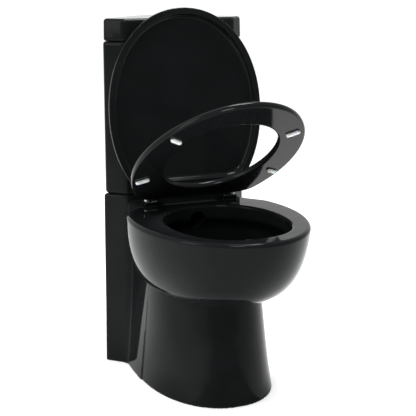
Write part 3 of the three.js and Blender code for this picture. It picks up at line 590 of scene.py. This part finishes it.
MATERIALS = {
    "black_glaze": surface(
        "black_glaze", (0.0072, 0.0084, 0.0086), 0.055, 0.02, specular=0.055, shade=0.2,
        bumps=((22.0, 0.00022, 0.0), (110.0, 0.00002, 1.0)),
    ),
    "black_plastic": surface(
        "black_plastic", (0.0062, 0.0067, 0.0070), 0.09, 0.02, specular=0.07, shade=0.15,
        bumps=((14.0, 0.00008, 0.0), (60.0, 0.000003, 1.0)),
    ),
    "buffer_plastic": surface(
        "buffer_plastic", (0.80, 0.81, 0.80), 0.42, 0.05, shade=0.02, bumps=((400.0, 0.00003, 2.0),),
        extra=(("Subsurface Weight", 0.3), ("Subsurface Scale", 0.003)),
    ),
    "chrome": surface(
        "chrome", (0.75, 0.76, 0.78), 0.08, 0.02, metallic=1.0, shade=0.03, bumps=((120.0, 0.00001, 1.0),),
    ),
    "zinc_steel": surface(
        "zinc_steel", (0.60, 0.61, 0.63), 0.34, 0.08, metallic=1.0, shade=0.12,
        bumps=((600.0, 0.00003, 3.0),),
    ),
    "rubber": surface("rubber", (0.020, 0.020, 0.021), 0.70, 0.08, shade=0.2, bumps=((500.0, 0.00006, 3.0),)),
    "white_plastic": surface(
        "white_plastic", (0.75, 0.75, 0.73), 0.40, 0.06, shade=0.03, bumps=((350.0, 0.00003, 2.0),),
    ),
    "grey_plastic": surface(
        "grey_plastic", (0.25, 0.28, 0.31), 0.42, 0.06, shade=0.05, bumps=((350.0, 0.00003, 2.0),),
    ),
}

# ---- pieces ----
piece(
    "pan_glazed", pan, (-195, -487, -1), (195, 196, 420), 3.0,
    "pan_and_cistern", "black_glaze", "pan",
)
piece(
    "cistern_glazed", tank, (-184, -1, 417), (184, 196, 780), 3.0,
    "pan_and_cistern", "black_glaze", "cistern_tank",
)
piece(
    "cistern_lid_glazed", lid, (-184, -1, 767), (184, 196, 833), 2.5,
    "lid", "black_glaze", "cistern_lid",
)
piece(
    "seat_ring_moulded", seat, (-192, -493, 407), (192, -48, 440), 2.2,
    "seat", "black_plastic", "seat_ring", SEAT_ANGLE,
)
piece(
    "seat_cover_moulded", cover, (-192, -493, 418), (192, -48, 453), 2.2,
    "cover", "black_plastic", "seat_cover", COVER_ANGLE,
)
for label, side in (("left", -1), ("right", 1)):
    for part, (x, y) in (("front", (135, -366)), ("rear", (158, -182))):
        piece(
            f"seat_buffer_moulded_{part}_{label}", buffer(side * x, y),
            (side * x - 18, y - 18, RIM_Z), (side * x + 18, y + 18, RIM_Z + 6), 0.9,
            "seat", "buffer_plastic", f"seat_buffer_{part}_{label}", SEAT_ANGLE,
        )
    low, high = sorted((side * 81.0, side * 117.0))
    piece(
        f"hinge_post_moulded_{label}", hinge_post, (low, -72, RIM_Z), (high, -43, HINGE_Z + 10), 1.1,
        "pan_and_cistern", "black_plastic", f"seat_hinge_post_{label}",
    )
piece(
    "button_collar_turned", collar,
    (-32, VALVE_Y - 32, LID_TOP_Z - 31), (32, VALVE_Y + 32, LID_TOP_Z + 3), 1.0,
    "lid", "chrome", "button_collar",
)
for name, body, x0, x1, rod_x in (
    ("full_flush_button", "full_button", -30.0, SPLIT_X - 0.25, -8.0),
    ("half_flush_button", "half_button", SPLIT_X + 0.25, 30.0, 14.0),
):
    piece(
        f"{name}_turned", button(x0, x1, rod_x),
        (-25, VALVE_Y - 25, 709), (25, VALVE_Y + 25, LID_TOP_Z + 3), 1.0,
        body, "chrome", name,
    )

SLOTS = {
    "flush_valve_base": "white_plastic", "flush_valve_cage": "white_plastic",
    "flush_valve_core": "grey_plastic", "flush_seal_washer": "rubber",
    "flush_valve_backnut": "white_plastic", "doughnut_gasket": "rubber",
    "fill_valve_riser": "white_plastic", "fill_valve_head": "white_plastic",
    "fill_valve_float": "grey_plastic", "fill_valve_lever": "grey_plastic",
    "fill_valve_seal": "rubber", "fill_valve_backnut": "white_plastic",
    "button_collar_nut": "white_plastic",
}
for label in ("left", "right"):
    SLOTS[f"cistern_bolt_seal_{label}"] = "rubber"
    SLOTS[f"floor_screw_sleeve_{label}"] = "white_plastic"
    for part in (
        "cistern_bolt", "cistern_bolt_washer", "cistern_wing_nut",
        "seat_hinge_pin", "seat_fixing_bolt", "floor_screw",
    ):
        SLOTS[f"{part}_{label}"] = "zinc_steel"
for name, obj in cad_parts.items():
    slot = SLOTS.get(name, "black_glaze")
    obj.data.materials.clear()
    obj.data.materials.append(MATERIALS[slot])

# ---- studio ----
floor_mesh = bpy.data.meshes.new("studio_floor")
count, FLOOR_R, FLOOR_Z = 96, 9, -0.0008
turns = [2 * math.pi * i / count for i in range(count)]
edge = [(FLOOR_R * math.cos(turn), FLOOR_R * math.sin(turn), FLOOR_Z) for turn in turns]
floor_mesh.from_pydata(edge, [], [list(range(count))])
floor = bpy.data.objects.new("studio_floor", floor_mesh)
bpy.context.scene.collection.objects.link(floor)
material, nodes, links, shader = node_tree("studio_floor")
shader.inputs["Base Color"].default_value = (0.82, 0.82, 0.82, 1)
shader.inputs["Roughness"].default_value = 0.9
shader.inputs["Specular IOR Level"].default_value = 0.1
shader.inputs["Emission Color"].default_value = (1, 1, 1, 1)
shader.inputs["Emission Strength"].default_value = 0.45
floor.data.materials.append(material)
floor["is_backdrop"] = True

world = bpy.data.worlds.new("studio")
bpy.context.scene.world = world
world.use_nodes = True
nodes, links = world.node_tree.nodes, world.node_tree.links
nodes.clear()
direction = nodes.new("ShaderNodeTexCoord").outputs["Generated"]
toward = nodes.new("ShaderNodeVectorMath")
toward.operation = "DOT_PRODUCT"
toward.inputs[1].default_value = (0.35, -0.93, 0.05)
links.new(direction, toward.inputs[0])
strength = ranged(nodes, links, toward.outputs["Value"], 1.05, 0.22, -0.4, 0.75)
background = nodes.new("ShaderNodeBackground")
background.inputs["Color"].default_value = (1, 1, 1, 1)
links.new(strength, background.inputs["Strength"])
output = nodes.new("ShaderNodeOutputWorld")
links.new(background.outputs["Background"], output.inputs["Surface"])


def area_light(name, place, target, size, power):
    data = bpy.data.lights.new(name, "AREA")
    data.shape = "RECTANGLE"
    data.size, data.size_y = size
    data.energy = power
    obj = bpy.data.objects.new(name, data)
    bpy.context.scene.collection.objects.link(obj)
    obj.location = place
    obj.rotation_euler = (Vector(target) - Vector(place)).to_track_quat("-Z", "Y").to_euler()
    return obj


area_light("overhead", (0.3, 0.1, 2.5), (0, -0.2, 0.4), (0.9, 0.6), 75)
area_light("left_box", (-2.4, -0.2, 1.5), (0, 0, 0.4), (0.9, 1.6), 18)
area_light("front_top", (-0.7, -1.5, 2.3), (0, -0.2, 0.4), (0.7, 0.5), 22)

# ---- camera ----
DISTANCE, HEIGHT = 2.4834, 0.9413
SIDE_ANGLE, YAW, PITCH = 0.3728, 0.0261, 0.2053
camera_data = bpy.data.cameras.new("camera")
camera_data.sensor_width = 36.0
camera_data.lens = 90.85
camera_data.shift_y = -0.048
camera = bpy.data.objects.new("camera", camera_data)
bpy.context.scene.collection.objects.link(camera)
camera.location = (
    -DISTANCE * math.sin(SIDE_ANGLE),
    -DISTANCE * math.cos(SIDE_ANGLE) + Y_SHIFT * MM,
    HEIGHT,
)
turn = SIDE_ANGLE + YAW
forward = Vector((math.sin(turn) * math.cos(PITCH), math.cos(turn) * math.cos(PITCH), -math.sin(PITCH)))
camera.rotation_euler = forward.to_track_quat("-Z", "Y").to_euler()
bpy.context.scene.camera = camera
bpy.context.scene.view_settings.view_transform = "Standard"

low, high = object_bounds()
